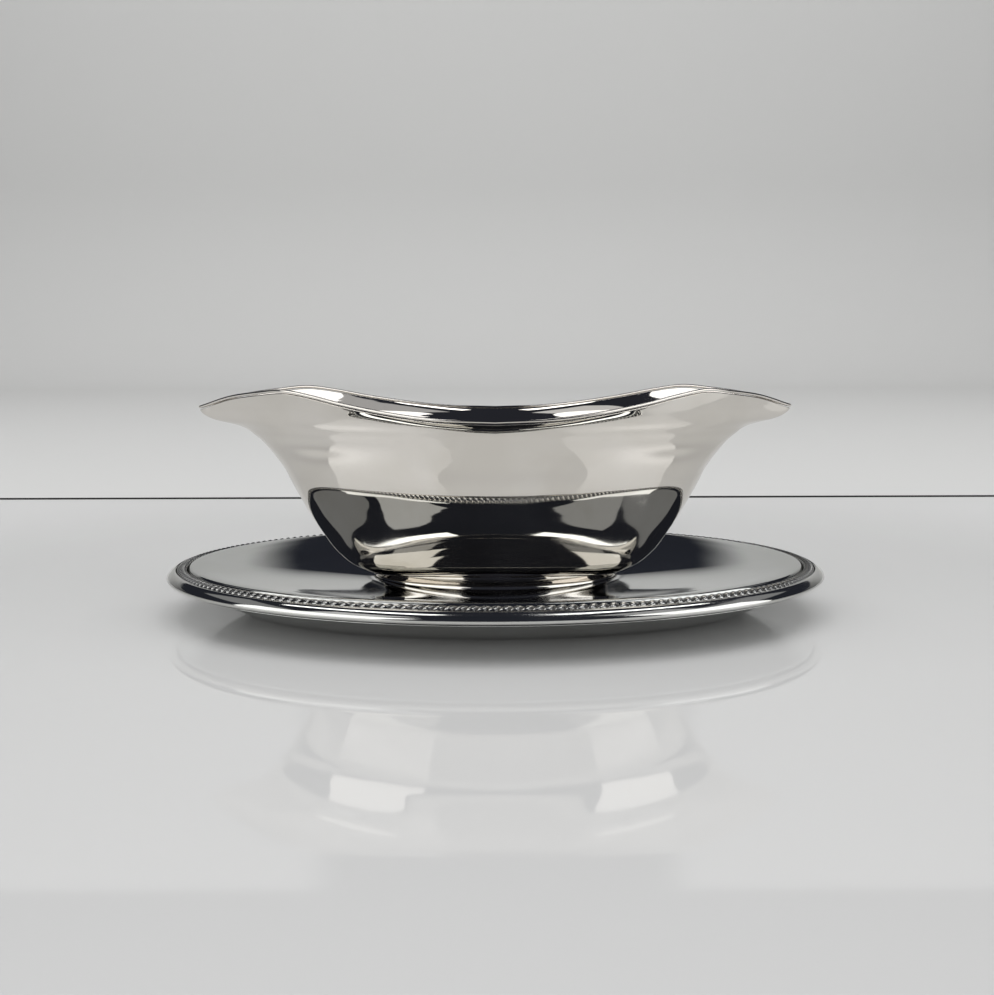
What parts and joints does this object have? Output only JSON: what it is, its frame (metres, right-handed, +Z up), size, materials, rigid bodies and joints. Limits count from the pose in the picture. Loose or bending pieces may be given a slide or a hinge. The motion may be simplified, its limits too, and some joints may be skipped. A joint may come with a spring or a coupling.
{
  "type": "sauce boat",
  "caption": "Oval metal sauce boat with a pouring lip at each end, fixed on an oval tray with a gadrooned border.",
  "frame": {"origin": "middle of the tray's base, on the table", "axes": "+X along the boat towards one lip, +Y away from the viewer of the picture, +Z up"},
  "size_m": [0.23, 0.15, 0.0793],
  "materials": {
    "boat_body": "polished",
    "rim_wire": "polished",
    "boat_foot": "polished",
    "tray": "polished",
    "gadroon_border": "polished, darker in the valleys",
    "tray_edge": "polished",
    "tray_base": "polished"
  },
  "bodies": {
    "root": {"boat_body": "boat_body", "rim_wire": "rim_wire", "boat_foot": "boat_foot", "tray": "tray", "gadroon_border": "gadroon_border", "tray_edge": "tray_edge", "tray_base": "tray_base"}
  },
  "joints": []
}
